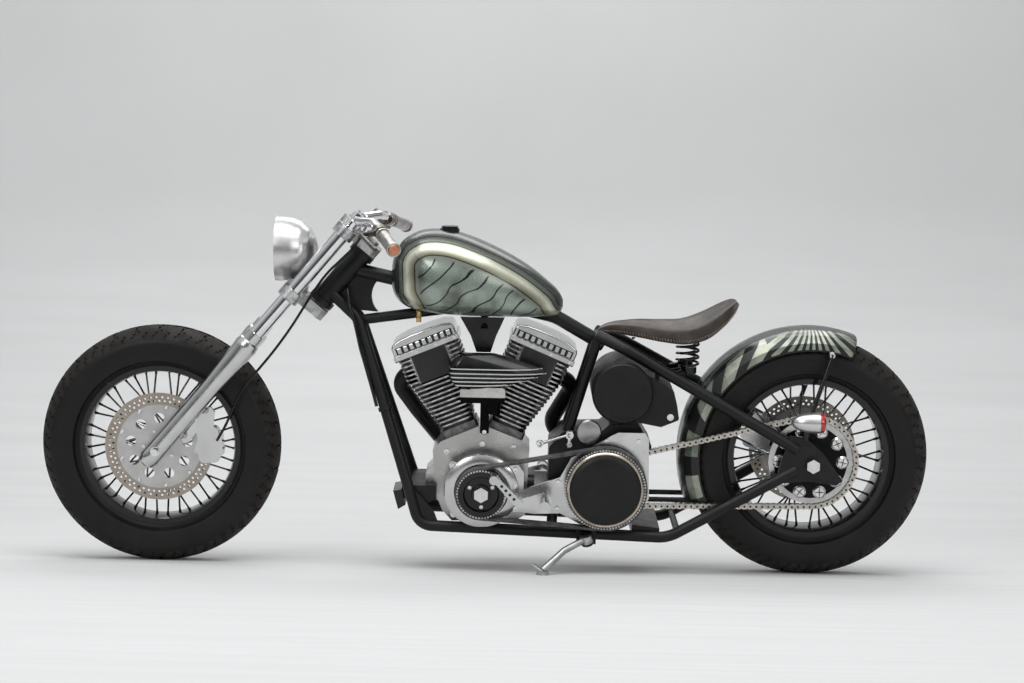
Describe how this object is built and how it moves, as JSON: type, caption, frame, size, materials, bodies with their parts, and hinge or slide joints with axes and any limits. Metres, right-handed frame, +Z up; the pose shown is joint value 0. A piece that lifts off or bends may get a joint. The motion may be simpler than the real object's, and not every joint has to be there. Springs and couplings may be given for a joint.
{
  "type": "bobber motorcycle",
  "caption": "Low custom motorcycle with a V-twin engine, open belt primary, hardtail frame, spring seat and side stand; both wheels, the steering and the stand move.",
  "frame": {"origin": "bottom centre of the parked motorcycle's bounding box, on the floor", "axes": "+X forward along the floor, +Y to the rider's left, +Z up; the motorcycle leans 8 degrees towards +Y on its side stand"},
  "size_m": [2.4, 0.739, 0.9768],
  "materials": {
    "axle_steel": "chromed",
    "bar_chrome": "chromed",
    "belt_rubber": "black",
    "black_rim": "gloss black",
    "brass": "plain brass",
    "caliper_chrome": "polished",
    "carb_alloy": "cast",
    "chain_nickel": "pale nickel",
    "cleaner_black": "black with bright fin edges",
    "clear_glass": "clear",
    "control_bronze": "dark bronze",
    "cylinder_black": "black with bright fin edges",
    "disc_steel": "brushed, browned by heat",
    "engine_alloy": "cast, silver-grey",
    "exhaust_black": "heat-proof black",
    "fender_black": "gloss black with sage-silver stripes",
    "fork_alloy": "polished",
    "fork_chrome": "hard chrome",
    "frame_black": "satin black",
    "gearbox_black": "satin black",
    "grip_alloy": "knurled, with copper-coloured ends",
    "hose_black": "black",
    "lamp_alloy": "spun and polished",
    "oil_black": "gloss black",
    "plate_alloy": "satin",
    "pulley_black": "matte black with bright rims",
    "red_lens": "red, translucent",
    "rocker_alloy": "polished and ribbed",
    "seat_leather": "brown-grey",
    "spokes": "polished stainless",
    "spring_black": "black",
    "sprocket_steel": "bright ring on a black carrier",
    "tank_paint": "sage green metallic with cream highlights",
    "tree_alloy": "satin",
    "tyre_rubber": "charcoal rubber with a brownish tread"
  },
  "bodies": {
    "bike": {"air_cleaner": "cleaner_black", "carburettor": "carb_alloy", "crankcase": "engine_alloy", "drive_chain": "chain_nickel", "engine_top_mount": "plate_alloy", "exhaust_pipes": "exhaust_black", "fender_struts": "spring_black", "filler_cap": "bar_chrome", "foot_controls": "plate_alloy", "frame_backbone": "frame_black", "frame_cradle": "frame_black", "front_cylinder": "cylinder_black", "fuel_tank": "tank_paint", "gearbox": "gearbox_black", "motor_plate": "plate_alloy", "oil_tank": "oil_black", "petcock": "brass", "primary_belt": "belt_rubber", "primary_pulleys": "pulley_black", "pushrod_tubes": "bar_chrome", "rear_axle": "axle_steel", "rear_caliper": "caliper_chrome", "rear_cylinder": "cylinder_black", "rear_fender": "fender_black", "regulator": "cleaner_black", "rocker_boxes": "rocker_alloy", "seat": "seat_leather", "seat_springs": "spring_black", "tail_lamp": "lamp_alloy", "tail_lamp_lens": "red_lens", "wiring_conduit": "hose_black"},
    "fork": {"fork_sliders": "fork_alloy", "fork_tubes": "fork_chrome", "lower_tree": "tree_alloy", "upper_tree": "tree_alloy", "handlebar": "bar_chrome", "grips": "grip_alloy", "controls_and_levers": "control_bronze", "headlamp_bowl": "lamp_alloy", "headlamp_lens": "clear_glass", "front_caliper": "caliper_chrome", "front_axle": "axle_steel", "brake_hose": "hose_black"},
    "front_wheel": {"front_tyre": "tyre_rubber", "front_rim": "black_rim", "front_hub_and_spokes": "spokes", "front_brake_disc": "disc_steel"},
    "rear_wheel": {"rear_tyre": "tyre_rubber", "rear_rim": "black_rim", "rear_hub_and_spokes": "spokes", "rear_brake_disc": "disc_steel", "rear_sprocket": "sprocket_steel"},
    "side_stand": {"side_stand": "frame_black"}
  },
  "joints": [
    {"name": "steering", "type": "hinge", "parent": "bike", "child": "fork", "pos_m": [0.39383, 0.00393, 0.77965], "axis": [-0.6401, 0.1069, 0.7608], "range_deg": [-30, 30]},
    {"name": "front_wheel_spin", "type": "hinge", "parent": "fork", "child": "front_wheel", "pos_m": [0.877, -0.06069, 0.31986], "axis": [0, 0.9903, -0.1392], "continuous": true},
    {"name": "rear_wheel_spin", "type": "hinge", "parent": "bike", "child": "rear_wheel", "pos_m": [-0.873, -0.06013, 0.32382], "axis": [0, 0.9903, -0.1392], "continuous": true},
    {"name": "side_stand_fold", "type": "hinge", "parent": "bike", "child": "side_stand", "pos_m": [-0.277, 0.07715, 0.09347], "axis": [0.204, 0.4489, 0.87], "range_deg": [0, 130]}
  ]
}
